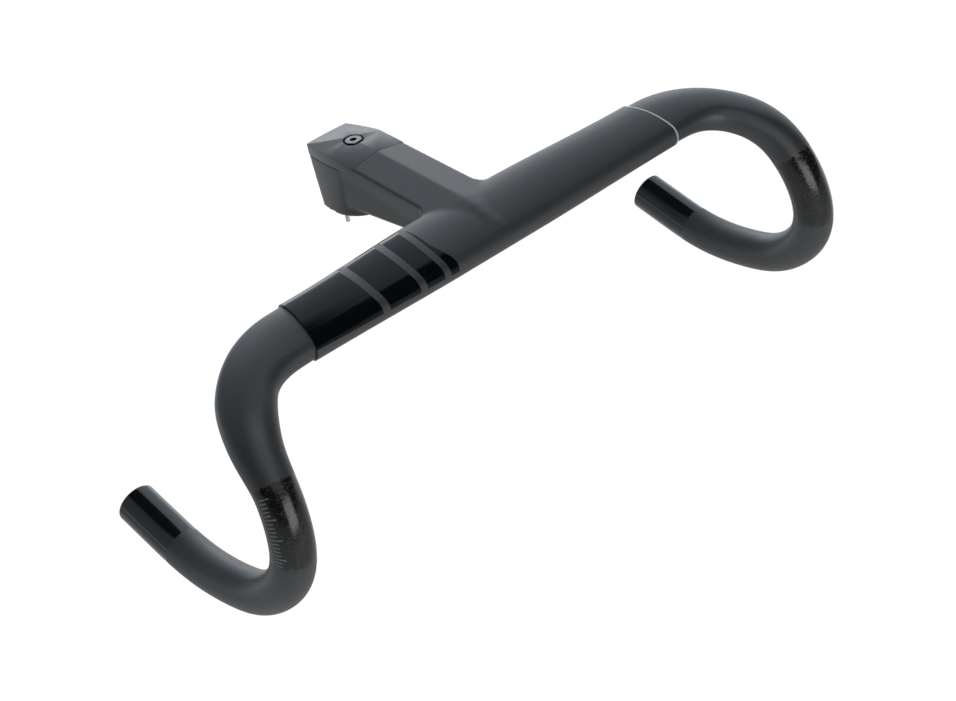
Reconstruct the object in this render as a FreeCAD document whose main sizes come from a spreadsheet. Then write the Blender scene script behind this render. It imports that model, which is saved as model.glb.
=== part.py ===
import FreeCAD, Part
import math
import os
import Sketcher
from FreeCAD import Placement, Rotation, Vector

# Integrated drop handlebar and stem, moulded in one hollow piece, with its top cap,
# clamp hardware and bonded inserts. Millimetres.
# Origin: steerer axis at the clamp's bottom face. +Z up the steerer, -Y forward, +X rider's left.

SIZES = (
    ("stem_length", 110.0, "steerer axis to bar centre along the ridge"),
    ("stem_angle", 8.0, "fall of the ridge going forward, degrees"),
    ("ridge_height", 41.0, "ridge above the bottom face at the steerer axis"),
    ("ridge_above_bar", 10.0, "ridge above the bar centre"),
    ("roof_fall", 2.9, "fall of the roof from ridge to edge"),
    ("stem_half_width", 19.5, "roof edge beside the cap"),
    ("stem_front_half_width", 20.4, "roof edge where the stem meets the bar"),
    ("stem_side_tuck", 1.9, "how far the upper side face leans in at the bar"),
    ("crease_rear_height", 30.6, "side crease above the bottom face at the steerer axis"),
    ("crease_front_height", 11.0, "side crease above the bottom face at the bar"),
    ("edge_bevel", 0.7, "bevel along the roof edge"),
    ("stem_floor", 3.5, "underside of the stem above the bottom face"),
    ("stem_bottom_chamfer", 4.0, "lower corner of the stem section"),
    ("crotch_radius", 8.0, "rounding between stem side and bar in plan"),
    ("wall", 2.0, "laminate thickness"),
    ("clamp_wall", 2.4, "laminate thickness beside the steerer"),
    ("wing_half_chord", 23.3, "tops beside the stem, half of front to back"),
    ("wing_half_thick", 11.0, "tops beside the stem, half of top to bottom"),
    ("wing_back_shift", 3.7, "tops beside the stem, section centre behind the bar centre"),
    ("wing_sink", 3.0, "tops beside the stem, section centre below the bar centre"),
    ("wing_tilt", 8.0, "nose-down tilt of the section, degrees"),
    ("oval_joint", 71.0, "angle where the end arcs of a bar section meet its long arcs"),
    ("tape_inside", 74.0, "tape step inside the plane of the bar end"),
    ("tape_slant", 0.11, "slant of the tape step in plan"),
    ("tape_step_depth", 1.2, "how much lower the taped part lies"),
    ("tape_half_chord", 20.8, "tops at the tape step, half of front to back"),
    ("tape_half_thick", 10.6, "tops at the tape step, half of top to bottom"),
    ("tape_sink", 1.1, "section centre below the bar centre at the tape step"),
    ("tape_tilt", 6.0, "tilt of the section at the tape step, degrees"),
    ("corner_half_width", 17.6, "flattened corner, half of its width"),
    ("corner_half_thick", 11.6, "flattened corner, half of its thickness"),
    ("grip_radius", 12.1, "round tube of the drop"),
    ("drop_out", 207.5, "lowest run and bar end from the centre plane"),
    ("corner_inside", 31.9, "corner point inside the plane of the bar end"),
    ("corner_forward", 10.1, "corner point forward of the bar centre"),
    ("corner_down", 4.7, "corner point below the bar centre"),
    ("ramp_inside", 11.9, "ramp point inside the plane of the bar end"),
    ("ramp_forward", 37.1, "ramp point forward"),
    ("ramp_down", 15.4, "ramp point down"),
    ("lever_inside", 7.2, "lever seat inside the plane of the bar end"),
    ("lever_forward", 60.4, "lever seat forward"),
    ("lever_down", 39.3, "lever seat down"),
    ("reach", 68.4, "furthest forward point of the drop"),
    ("reach_down", 74.0, "furthest forward point, down"),
    ("reach_inside", 3.9, "furthest forward point inside the plane of the bar end"),
    ("hook_forward", 45.5, "lower hook point forward"),
    ("hook_down", 108.3, "lower hook point down"),
    ("hook_inside", 1.1, "lower hook point inside the plane of the bar end"),
    ("drop_depth", 123.0, "lowest run of the drop"),
    ("drop_forward", 5.9, "lowest run, point forward"),
    ("grip_back", 39.9, "hand grip point behind the bar centre"),
    ("grip_down", 123.5, "hand grip point down"),
    ("end_back", 75.6, "bar end behind the bar centre"),
    ("end_down", 116.4, "bar end down"),
    ("end_bore_radius", 10.5, "bore of the bar end"),
    ("end_bore_length", 24.0, "straight bore for a bar plug"),
    ("port_length", 15.0, "cable port, long side"),
    ("port_width", 8.0, "cable port, short side"),
    ("steerer_radius", 14.3, "steerer clamp bore"),
    ("steerer_bore_top", 23.0, "top of the steerer clamp bore"),
    ("relief_radius", 15.2, "relief above the steerer bore"),
    ("base_radius", 20.4, "round front of the clamp's bottom face"),
    ("base_corner_x", 18.1, "rear corner of the bottom face"),
    ("base_corner_y", 18.2, "rear corner behind the steerer axis"),
    ("base_rear", 24.0, "rear of the bottom face at the centre plane"),
    ("channel_radius", 18.4, "cable channel in front of the steerer"),
    ("channel_half_angle", 48.0, "half of the channel's spread, degrees"),
    ("slit_width", 2.0, "clamp slit"),
    ("seam_forward", 21.0, "cap seam in front of the steerer axis"),
    ("seam_height", 31.2, "flat seat of the cap above the bottom face"),
    ("seam_gap", 0.25, "gap between cap and stem"),
    ("cap_rear_half_width", 15.1, "cap at its rear edge"),
    ("cap_mid_back", 7.0, "place of the middle width behind the axis"),
    ("cap_rear", 26.5, "rear edge of the cap behind the axis"),
    ("cap_rear_bow", 0.8, "how far the rear edge of the cap bows out"),
    ("cap_rear_height", 37.7, "rear edge of the cap above the bottom face"),
    ("cap_apex_back", 2.0, "where the cap's faces meet, behind the axis"),
    ("cap_boss_depth", 1.5, "boss of the cap in the relief"),
    ("cap_boss_clearance", 0.2, "radial clearance of the boss"),
    ("cap_recess_radius", 6.3, "recess round the cap bolt"),
    ("cap_recess_depth", 3.4, "recess below the ridge"),
    ("cap_bolt_clearance", 0.3, "radial clearance of the cap bolt"),
    ("cap_bolt_radius", 3.0, "cap bolt shank"),
    ("cap_bolt_length", 13.0, "cap bolt below its head"),
    ("cap_bolt_head_radius", 5.3, "cap bolt head"),
    ("cap_bolt_head_height", 2.8, "cap bolt head height"),
    ("cap_bolt_hex", 4.0, "cap bolt hex socket across flats"),
    ("cap_bolt_hex_depth", 2.0, "cap bolt hex socket depth"),
    ("clamp_bolt_low", 10.5, "lower clamp bolt above the bottom face"),
    ("clamp_bolt_gap", 12.5, "spacing of the clamp bolts"),
    ("clamp_bolt_back", 17.6, "clamp bolts behind the steerer axis"),
    ("clamp_bolt_radius", 2.5, "clamp bolt shank"),
    ("clamp_bolt_clearance", 0.15, "radial clearance of the clamp bolt"),
    ("clamp_bolt_head_radius", 4.25, "clamp bolt head"),
    ("clamp_bolt_head_height", 3.0, "clamp bolt head height"),
    ("clamp_bolt_hex", 3.5, "clamp bolt socket across flats"),
    ("clamp_bolt_hex_depth", 1.8, "clamp bolt socket depth"),
    ("clamp_seat", 9.0, "seat of the clamp washers from the centre plane"),
    ("clamp_pocket_radius", 4.7, "pocket for the clamp bolt head"),
    ("washer_thickness", 1.0, "clamp washer"),
    ("washer_radius", 4.5, "clamp washer"),
    ("insert_radius", 3.2, "threaded insert of the clamp"),
    ("insert_start", 3.5, "threaded insert, near face from the centre plane"),
    ("insert_length", 9.0, "threaded insert of the clamp"),
    ("pin_radius", 1.25, "locating pin under the clamp"),
    ("pin_reach", 5.4, "locating pin below the bottom face"),
    ("pin_depth", 6.0, "locating pin inside the clamp"),
    ("pin_side", 17.3, "locating pin from the centre plane"),
    ("pin_forward", 2.0, "locating pin in front of the steerer axis"),
    ("mount_spacing", 18.0, "spacing of the accessory inserts"),
    ("mount_back", 4.0, "accessory inserts behind the bar centre"),
    ("mount_face", 2.4, "face of the accessory inserts above the bottom face"),
    ("mount_insert_radius", 3.5, "accessory insert"),
    ("mount_insert_bore", 2.1, "tapped bore of the accessory insert"),
    ("mount_insert_length", 8.0, "accessory insert"),
    ("mount_boss_radius", 5.5, "moulded boss round each accessory insert"),
)

CROTCH_SHARE = 0.83
FLARE_STEPS = 5
FLARE_ANGLE = 76.0
# Ridge over the tops in the frame of the bar: back, up, floor.
SINKING = (
    (14.0, 10.0, -12.0),
    (6.0, 9.4, -12.0),
    (-2.0, 7.9, -12.0),
    (-10.0, 5.6, -11.0),
    (-16.0, 2.8, -9.0),
)
CORNER_RUN = 45.0
ROUND_RUN = 60.0
TOPS_STEPS = 7
DROP_TURN = 12.0
OVERLAP = 8.0
BEYOND = 3.0
FAR = 200.0
BOLT_CHAMFER = 0.5
PIN_CHAMFER = 0.3
LEFTWARD = Rotation(Vector(0, 1, 0), 90)
BAR_Y = ("(Sizes.ridge_above_bar * sin(Sizes.stem_angle)"
         " - Sizes.stem_length * cos(Sizes.stem_angle))")

document = FreeCAD.newDocument("IntegratedHandlebar")
sheet = document.addObject("Spreadsheet::Sheet", "Sizes")
for row, (alias, value, meaning) in enumerate(SIZES, 1):
    sheet.set(f"A{row}", meaning)
    sheet.set(f"B{row}", str(value))
    sheet.setAlias(f"B{row}", alias)
document.recompute()


def size(alias):
    return float(getattr(sheet, alias))


def bar_placement():
    """Frame of the bar: origin at its centre, Y rearward along the ridge, Z square to it."""
    angle = math.radians(size("stem_angle"))
    along = size("stem_length")
    above = size("ridge_above_bar")
    back = -along * math.cos(angle) + above * math.sin(angle)
    up = size("ridge_height") - along * math.sin(angle) - above * math.cos(angle)
    return Placement(Vector(0, back, up), Rotation(Vector(1, 0, 0), size("stem_angle")))


BAR = bar_placement()


def blend(start, end, share):
    """Smooth change from start to end as share goes from 0 to 1."""
    share = min(max(share, 0.0), 1.0)
    return start + (end - start) * share * share * (3 - 2 * share)


def oval(centre, across, upward, half_width, half_height):
    """Closed outline of four tangent arcs, given in the frame of the bar."""
    joint = math.radians(size("oval_joint"))
    lean = 1 / math.cos(joint) - math.tan(joint)
    end_radius = (half_height - half_width * lean) / (1 - lean)
    wide = half_width - end_radius + end_radius * math.cos(joint)
    high = end_radius * math.sin(joint)

    def place(side, rise):
        return BAR.multVec(centre + across * side + upward * rise)

    arcs = [
        Part.Arc(place(wide, -high), place(half_width, 0), place(wide, high)),
        Part.Arc(place(wide, high), place(0, half_height), place(-wide, high)),
        Part.Arc(place(-wide, high), place(-half_width, 0), place(-wide, -high)),
        Part.Arc(place(-wide, -high), place(0, -half_height), place(wide, -high)),
    ]
    return Part.Wire([arc.toShape() for arc in arcs])


def tape_offset():
    """Tape step from the centre plane."""
    return size("drop_out") - size("tape_inside")


def wing_oval(x, inset):
    """Section of the tops at x, drawn in by inset."""
    share = (abs(x) - size("stem_half_width")) / (tape_offset() - size("stem_half_width"))
    tilt = math.radians(blend(size("wing_tilt"), size("tape_tilt"), share))
    slant = math.copysign(size("tape_slant"), x) * min(max(share, 0.0), 1.0)
    centre = Vector(x, blend(size("wing_back_shift"), 0, share),
                    -blend(size("wing_sink"), size("tape_sink"), share))
    half_width = blend(size("wing_half_chord"), size("tape_half_chord"), share) - inset
    half_height = blend(size("wing_half_thick"), size("tape_half_thick"), share) - inset
    across = Vector(-slant, math.cos(tilt), math.sin(tilt))
    upward = Vector(0, -math.sin(tilt), math.cos(tilt))
    return oval(centre, across, upward, half_width, half_height)


def wing_solid(inset, steps):
    """The tops from tape step to tape step."""
    places = [tape_offset() * (2 * step / steps - 1) for step in range(steps + 1)]
    return Part.makeLoft([wing_oval(x, inset) for x in places], True, True)


def drop_points():
    """Points on the centre line of the rider's left drop, in the frame of the bar."""
    sink = size("tape_sink")
    out = size("drop_out")
    names = (("corner_inside", "corner_forward", "corner_down"),
             ("ramp_inside", "ramp_forward", "ramp_down"),
             ("lever_inside", "lever_forward", "lever_down"),
             ("reach_inside", "reach", "reach_down"),
             ("hook_inside", "hook_forward", "hook_down"))
    points = [Vector(tape_offset() - OVERLAP, 0, -sink),
              Vector(tape_offset() + OVERLAP, 0, -sink)]
    points += [Vector(out - size(inside), -size(forward), -size(down))
               for inside, forward, down in names]
    points.append(Vector(out, -size("drop_forward"), -size("drop_depth")))
    points.append(Vector(out, size("grip_back"), -size("grip_down")))
    points.append(Vector(out, size("end_back"), -size("end_down")))
    return points


def unit(vector):
    return vector * (1 / vector.Length)


def directions(points):
    """Direction of the line at each point: straight at both ends, round between."""
    ways = [unit(points[1] - points[0])] * 2
    for before, here, after in zip(points[1:], points[2:-1], points[3:-1]):
        arriving = here - before
        leaving = after - here
        ways.append(unit(arriving * (1 / arriving.Length ** 2)
                         + leaving * (1 / leaving.Length ** 2)))
    return ways + [unit(points[-1] - points[-2])] * 2


def tangent_arc(start, corner, end):
    """Edge from start to end that touches the lines through corner."""
    foot = (start + end) * 0.5
    rise = corner - foot
    half = (end - start).Length / 2
    if rise.Length < half / FAR:
        return Part.LineSegment(start, end).toShape()
    turn = math.atan2(rise.Length, half)
    radius = half / math.sin(turn)
    top = foot + unit(rise) * (radius - radius * math.cos(turn))
    return Part.Arc(start, top, end).toShape()


def two_arcs(start, start_way, end, end_way):
    """Two tangent arcs from start to end that keep both directions."""
    chord = end - start
    along = chord.dot(start_way + end_way)
    spread = 2 * (1 - start_way.dot(end_way))
    if spread < 1 / FAR ** 2:
        return [Part.LineSegment(start, end).toShape()]
    reach = (math.sqrt(along ** 2 + spread * chord.dot(chord)) - along) / spread
    first = start + start_way * reach
    second = end - end_way * reach
    middle = (first + second) * 0.5
    return [tangent_arc(start, first, middle), tangent_arc(middle, second, end)]


def drop_stations(beyond):
    """Length, point and direction along the drop, closer together where it bends more."""
    points = drop_points()
    ways = directions(points)
    places = [(0.0, points[0], ways[0])]
    travelled = 0.0
    for ends in zip(points, ways, points[1:], ways[1:]):
        for edge in two_arcs(*ends):
            first, last = edge.FirstParameter, edge.LastParameter
            turn = math.degrees(edge.tangentAt(first).getAngle(edge.tangentAt(last)))
            steps = max(1, round(turn / DROP_TURN))
            for step in range(1, steps + 1):
                place = first + (last - first) * step / steps
                places.append((travelled + edge.Length * step / steps,
                               edge.valueAt(place), unit(edge.tangentAt(place))))
            travelled += edge.Length
    length, end, way = places.pop()
    places.append((length + beyond, end + way * beyond, way))
    return places


def drop_ovals(places, inset):
    """Sections of the drop: like the tops, then a flattened corner, then round."""
    step_in = size("tape_step_depth") + inset
    round_size = size("grip_radius") + size("tape_step_depth")
    across = Vector(0, 1, 0)
    wires = []
    for length, centre, tangent in places:
        across = unit(across - tangent * across.dot(tangent))
        upward = tangent.cross(across)
        past_step = (length - 2 * OVERLAP) / CORNER_RUN
        to_round = (length - 2 * OVERLAP - CORNER_RUN) / ROUND_RUN
        half_width = blend(size("tape_half_chord"), size("corner_half_width"), past_step)
        half_height = blend(size("tape_half_thick"), size("corner_half_thick"), past_step)
        half_width = blend(half_width, round_size, to_round)
        half_height = blend(half_height, round_size, to_round)
        tilt = math.radians(size("tape_tilt")) * (1 - min(max(past_step, 0.0), 1.0))
        wide = across * math.cos(tilt) + upward * math.sin(tilt)
        high = upward * math.cos(tilt) - across * math.sin(tilt)
        wires.append(oval(centre, wide, high, half_width - step_in, half_height - step_in))
    return wires


def drop_solid(inset, beyond):
    """The rider's left drop from inside the tops to its end, drawn in by inset."""
    return Part.makeLoft(drop_ovals(drop_stations(beyond), inset), True, True)


def ridge_at(y):
    """Height of the straight ridge at y."""
    return size("ridge_height") + y * math.tan(math.radians(size("stem_angle")))


def bar_point(back, up):
    """Row-frame point in the centre plane, given in the frame of the bar."""
    return BAR.multVec(Vector(0, back, up))


def crotch():
    """Where the roof edges of the stem meet the rear edge of the tops."""
    back = size("wing_back_shift") + CROTCH_SHARE * size("wing_half_chord")
    return bar_point(back, size("ridge_above_bar") - size("roof_fall"))


def roof_drop(half_width):
    """Fall of the roof from the ridge to half_width: one plane on each side."""
    return size("roof_fall") * half_width / size("stem_half_width")


def stem_section(y, ridge, half_width, tuck, crease, floor, inset):
    """Ten-cornered section of the stem in a plane square to Y."""
    bevel = size("edge_bevel")
    chamfer = size("stem_bottom_chamfer")
    top = ridge - inset
    wide = half_width - inset
    crease_x = wide - tuck
    low = floor + inset
    corners = [
        (0, top),
        (wide - bevel, top - roof_drop(wide - bevel)),
        (wide, top - roof_drop(wide) - bevel),
        (crease_x, crease),
        (crease_x, low + chamfer),
        (crease_x - chamfer, low),
    ]
    left = [Vector(x, y, z) for x, z in corners]
    right = [Vector(-x, y, z) for x, z in reversed(corners[1:])]
    return Part.makePolygon(left + right + [left[0]])


def stem_solid(start, inset):
    """The stem: straight, then widening in an arc to the tops and sinking into them."""
    radius = size("crotch_radius")
    bend = crotch().y + radius
    tuck = size("stem_side_tuck")
    rear_crease = size("crease_rear_height")
    front_crease = size("crease_front_height")
    front_width = size("stem_front_half_width")
    rear_share = start / bend
    rear_width = size("stem_half_width")
    wires = [stem_section(start, ridge_at(start),
                          rear_width + (front_width - rear_width) * rear_share,
                          tuck * max(rear_share, 0.0),
                          rear_crease + (front_crease - rear_crease) * rear_share,
                          size("stem_floor"), inset)]
    for step in range(FLARE_STEPS + 1):
        angle = math.radians(FLARE_ANGLE) * step / FLARE_STEPS
        y = bend - radius * math.sin(angle)
        flare = radius * (1 - math.cos(angle))
        wires.append(stem_section(y, ridge_at(y), front_width + flare, tuck, front_crease,
                                  size("stem_floor"), inset))
    widest = front_width + radius
    for back, up, floor_up in SINKING:
        place = bar_point(back, up)
        floor = bar_point(back, floor_up).z
        wires.append(stem_section(place.y, place.z, widest, tuck, (place.z + floor) / 2,
                                  floor, inset))
    return Part.makeLoft(wires, True, True)


def outline(z, front, side, rear_corner, rear):
    """Closed outline of the clamp at height z, symmetric about the centre plane."""
    side_x, side_y = side
    corner_x, corner_y = rear_corner
    middle_x, middle_y = outline_middle(side, rear_corner)
    left_side = Part.Arc(Vector(side_x, side_y, z), Vector(middle_x, middle_y, z),
                         Vector(corner_x, corner_y, z))
    back = Part.Arc(Vector(corner_x, corner_y, z), Vector(0, rear, z),
                    Vector(-corner_x, corner_y, z))
    right_side = Part.Arc(Vector(-corner_x, corner_y, z), Vector(-middle_x, middle_y, z),
                          Vector(-side_x, side_y, z))
    nose = Part.Arc(Vector(-side_x, side_y, z), Vector(0, front, z),
                    Vector(side_x, side_y, z))
    return Part.Wire([arc.toShape() for arc in (left_side, back, right_side, nose)])


def outline_middle(side, rear_corner):
    """A point that makes the side an arc leaving the nose square to the centre plane."""
    side_x, side_y = side
    corner_x, corner_y = rear_corner
    half = (corner_y - side_y) / 2
    return side_x - (side_x - corner_x) * 0.25, side_y + half


def clamp_solid():
    """Block round the steerer: round nose and squared rear below, cap outline on top."""
    base_side = (size("base_radius"), 0.0)
    base_corner = (size("base_corner_x"), size("base_corner_y"))
    low = outline(0.0, -size("base_radius"), base_side, base_corner, size("base_rear"))
    return Part.makeLoft([low, seat_outline(size("seam_height"))], True, True)


def seat_outline(z):
    side = (size("stem_half_width"), -size("cap_mid_back"))
    corner = (size("cap_rear_half_width"), size("cap_rear"))
    return outline(z, -size("seam_forward") - OVERLAP / 2, side, corner,
                   size("cap_rear") + size("cap_rear_bow"))


def slab_above(first, second, third):
    """Large block above the plane through three points."""
    normal = (second - first).cross(third - first)
    if normal.z < 0:
        normal = normal * -1
    block = Part.makeBox(FAR, FAR, FAR, Vector(-FAR / 2, -FAR / 2, 0))
    block.Placement = Placement(first, Rotation(Vector(0, 0, 1), normal))
    return block


def cap_block():
    """Space above the cap seat, under the roof planes and the sloping rear faces."""
    top = size("ridge_height") + FAR / 20
    block = Part.Face(seat_outline(size("seam_height"))).extrude(Vector(0, 0, top))
    apex_y = size("cap_apex_back")
    apex = Vector(0, apex_y, ridge_at(apex_y))
    front_y = -size("seam_forward")
    front = Vector(0, front_y, ridge_at(front_y))
    rear_x = size("cap_rear_half_width")
    rear_y = size("cap_rear")
    rear_z = size("cap_rear_height")
    cutters = [slab_above(apex, Vector(rear_x, rear_y, rear_z), Vector(-rear_x, rear_y, rear_z))]
    for hand in (1, -1):
        edge_x = hand * size("stem_half_width")
        eave = Vector(edge_x, 0, ridge_at(0) - size("roof_fall"))
        cutters.append(slab_above(apex, front, eave))
        cutters.append(slab_above(apex, eave, Vector(hand * rear_x, rear_y, rear_z)))
    cutters.append(Part.makeBox(FAR, FAR, FAR, Vector(-FAR / 2, front_y - FAR, -FAR / 2)))
    for cutter in cutters:
        block = block.cut(cutter)
    return block


def made(name, shape):
    """Document object that holds a computed form."""
    item = document.addObject("Part::Feature", name)
    item.Shape = shape
    return item


def joined(name, items):
    item = document.addObject("Part::MultiFuse", name)
    item.Shapes = items
    return item


def cut(name, base, tool):
    item = document.addObject("Part::Cut", name)
    item.Base = base
    item.Tool = tool
    return item


def cylinder(name, radius, height, place, turn=None):
    """Cylinder bound to the sheet; place holds three expressions for its foot."""
    item = document.addObject("Part::Cylinder", name)
    item.Placement = Placement(Vector(), turn or Rotation())
    item.setExpression("Radius", radius)
    item.setExpression("Height", height)
    for axis, expression in zip("xyz", place):
        item.setExpression(f"Placement.Base.{axis}", expression)
    return item


def box(name, lengths, place):
    item = document.addObject("Part::Box", name)
    for side, expression in zip(("Length", "Width", "Height"), lengths):
        item.setExpression(side, expression)
    for axis, expression in zip("xyz", place):
        item.setExpression(f"Placement.Base.{axis}", expression)
    return item


def mirrored(shape):
    return shape.mirror(Vector(), Vector(1, 0, 0))


def outer_form():
    drop = drop_solid(0, 0)
    return joined("OuterForm", [
        made("Tops", wing_solid(0, TOPS_STEPS)),
        made("DropLeft", drop),
        made("DropRight", mirrored(drop)),
        made("Stem", stem_solid(-size("cap_mid_back"), 0)),
        made("ClampBlock", clamp_solid()),
    ])


def cavity_form():
    """The hollow inside the moulding, in one piece from bar end to bar end."""
    wall = size("wall")
    drop = drop_solid(wall, BEYOND)
    return joined("Cavity", [
        made("TopsCavity", wing_solid(wall, TOPS_STEPS)),
        made("DropCavityLeft", drop),
        made("DropCavityRight", mirrored(drop)),
        made("StemCavity", stem_solid(-size("seam_forward") - size("seam_gap") - wall, wall)),
        made("CablePassage", cable_passage()),
    ])


def cable_passage():
    """Way for the cables from the stem's hollow down in front of the steerer."""
    spread = 2 * size("channel_half_angle")
    top = size("seam_height") - size("clamp_wall")
    ring_sector = Part.makeCylinder(size("channel_radius"), top + BEYOND, Vector(0, 0, -BEYOND),
                                    Vector(0, 0, 1), spread)
    ring_sector.rotate(Vector(), Vector(0, 0, 1), -90 - spread / 2)
    half = size("steerer_radius") * math.sin(math.radians(size("channel_half_angle")))
    low = size("stem_floor") + size("wall")
    reach = size("seam_forward") + size("wall") + BEYOND
    throat = Part.makeBox(2 * half, reach - size("steerer_radius"), top - low,
                          Vector(-half, -reach, low))
    return ring_sector.fuse(throat)


def cable_port(hand):
    """Slot through the underside of the corner, long side along the tube."""
    points = drop_points()
    seat = points[2]
    tangent = directions(points)[2]
    angle = math.degrees(math.atan2(tangent.y, tangent.x))
    half = size("port_length") / 2 - size("port_width") / 2
    radius = size("port_width") / 2
    depth = 2 * size("corner_half_thick")
    slot = Part.makeCylinder(radius, depth, Vector(-half, 0, -depth))
    slot = slot.fuse(Part.makeCylinder(radius, depth, Vector(half, 0, -depth)))
    slot = slot.fuse(Part.makeBox(2 * half, 2 * radius, depth, Vector(-half, -radius, -depth)))
    slot = slot.removeSplitter()
    slot.Placement = BAR.multiply(Placement(seat, Rotation(Vector(0, 0, 1), angle)))
    return slot if hand > 0 else mirrored(slot)


def end_bore(hand):
    """Straight round bore at the bar end."""
    points = drop_points()
    end = points[-1]
    tangent = directions(points)[-1]
    foot = end - tangent * size("end_bore_length")
    bore = Part.makeCylinder(size("end_bore_radius"), size("end_bore_length") + BEYOND,
                             BAR.multVec(foot), BAR.Rotation.multVec(tangent))
    return bore if hand > 0 else mirrored(bore)


def cap_space():
    """Room for the cap: everything above its seat and behind the seam."""
    lengths = (f"{FAR}", f"{FAR}", f"{FAR}")
    place = (f"-{FAR} / 2", "-Sizes.seam_forward - Sizes.seam_gap", "Sizes.seam_height")
    return box("CapSpace", lengths, place)


def clamp_bolt_heights():
    return {"lower": "Sizes.clamp_bolt_low",
            "upper": "Sizes.clamp_bolt_low + Sizes.clamp_bolt_gap"}


def shell_cutters():
    """Every hole, slot and pocket of the moulding."""
    tools = [
        cap_space(),
        cylinder("SteererBore", "Sizes.steerer_radius", "Sizes.steerer_bore_top + 1",
                 ("0", "0", "-1")),
        cylinder("Relief", "Sizes.relief_radius", "Sizes.seam_height",
                 ("0", "0", "Sizes.steerer_bore_top")),
        box("Slit", ("Sizes.slit_width", "2 * Sizes.base_rear", "2 * Sizes.seam_height"),
            ("-Sizes.slit_width / 2", "0", "-1")),
    ]
    for name, height in clamp_bolt_heights().items():
        tools.append(cylinder(
            f"BoltHole_{name}", "Sizes.clamp_bolt_radius + Sizes.clamp_bolt_clearance",
            "Sizes.clamp_seat + Sizes.insert_start",
            ("-Sizes.insert_start", "Sizes.clamp_bolt_back", height), LEFTWARD))
        tools.append(cylinder(
            f"HeadPocket_{name}", "Sizes.clamp_pocket_radius", "2 * Sizes.base_radius",
            ("Sizes.clamp_seat", "Sizes.clamp_bolt_back", height), LEFTWARD))
        tools.append(cylinder(
            f"InsertHole_{name}", "Sizes.insert_radius", "Sizes.insert_length",
            ("-Sizes.insert_start - Sizes.insert_length", "Sizes.clamp_bolt_back", height),
            LEFTWARD))
    for name, sign in (("left", ""), ("right", "-")):
        tools.append(cylinder(
            f"PinHole_{name}", "Sizes.pin_radius", "Sizes.pin_depth + 1",
            (f"{sign}Sizes.pin_side", "-Sizes.pin_forward", "-1")))
        tools.append(cylinder(
            f"MountHole_{name}", "Sizes.mount_insert_radius", "Sizes.mount_insert_length + 5",
            (f"{sign}Sizes.mount_spacing / 2", f"{BAR_Y} + Sizes.mount_back",
             "Sizes.mount_face - 5")))
        hand = 1 if name == "left" else -1
        tools.append(made(f"CablePort_{name}", cable_port(hand)))
        tools.append(made(f"EndBore_{name}", end_bore(hand)))
    return joined("ShellCutters", tools)


def mount_bosses():
    """Moulded bosses that hold the accessory inserts inside the tops."""
    bosses = []
    for name, sign in (("left", ""), ("right", "-")):
        bosses.append(cylinder(
            f"MountBoss_{name}", "Sizes.mount_boss_radius", "Sizes.mount_insert_length + 2",
            (f"{sign}Sizes.mount_spacing / 2", f"{BAR_Y} + Sizes.mount_back",
             "Sizes.mount_face")))
    return bosses


def bar_stem_shell():
    hollow = cut("HollowForm", outer_form(), cavity_form())
    with_bosses = joined("HollowWithBosses", [hollow] + mount_bosses())
    shell = cut("BarStemShell", with_bosses, shell_cutters())
    shell.Label = "bar_stem_shell"
    return shell


def top_cap():
    solid = made("CapForm", cap_block())
    boss = cylinder("CapBoss", "Sizes.relief_radius - Sizes.cap_boss_clearance",
                    "Sizes.cap_boss_depth + 1",
                    ("0", "0", "Sizes.seam_height - Sizes.cap_boss_depth"))
    body = joined("CapWithBoss", [solid, boss])
    recess = cylinder("CapRecess", "Sizes.cap_recess_radius", "Sizes.ridge_height",
                      ("0", "0", "Sizes.ridge_height - Sizes.cap_recess_depth"))
    hole = cylinder("CapHole", "Sizes.cap_bolt_radius + Sizes.cap_bolt_clearance",
                    "Sizes.ridge_height", ("0", "0", "1"))
    cap = cut("TopCap", body, joined("CapCutters", [recess, hole]))
    cap.Label = "top_cap"
    return cap


def turned(name, profile):
    """Body turned about its own Z: profile lists radius and height expressions."""
    body = document.addObject("PartDesign::Body", name)
    sketch = body.newObject("Sketcher::SketchObject", name + "Profile")
    plane = [item for item in body.Origin.OriginFeatures if item.Role == "XZ_Plane"][0]
    sketch.AttachmentSupport = [(plane, "")]
    sketch.MapMode = "FlatFace"
    count = len(profile)
    values = [(number(radius), number(height)) for radius, height in profile]
    for index in range(count):
        start = Vector(*values[index], 0)
        end = Vector(*values[(index + 1) % count], 0)
        sketch.addGeometry(Part.LineSegment(start, end), False)
    for index in range(count):
        joint = Sketcher.Constraint("Coincident", index, 2, (index + 1) % count, 1)
        sketch.addConstraint(joint)
    for index, (radius, height) in enumerate(profile):
        pin_coordinate(sketch, "DistanceX", index, radius, values[index][0], -2)
        pin_coordinate(sketch, "DistanceY", index, height, values[index][1], -1)
    spin = body.newObject("PartDesign::Revolution", name + "Turn")
    spin.Profile = sketch
    spin.ReferenceAxis = (sketch, ["V_Axis"])
    spin.Angle = 360
    body.Tip = spin
    return body


def number(expression):
    """Value of an expression over the sheet."""
    probe = document.addObject("App::FeaturePython", "Probe")
    probe.addProperty("App::PropertyFloat", "Value")
    probe.setExpression("Value", expression)
    probe.recompute()
    value = probe.Value
    document.removeObject(probe.Name)
    return value


def pin_coordinate(sketch, kind, index, expression, value, axis):
    """Bind one coordinate of a corner to its expression, or lay the corner on an axis."""
    if expression == "0":
        sketch.addConstraint(Sketcher.Constraint("PointOnObject", index, 1, axis))
        return
    place = sketch.addConstraint(Sketcher.Constraint(kind, -1, 1, index, 1, value))
    sketch.setExpression(f"Constraints[{place}]", expression)


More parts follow.
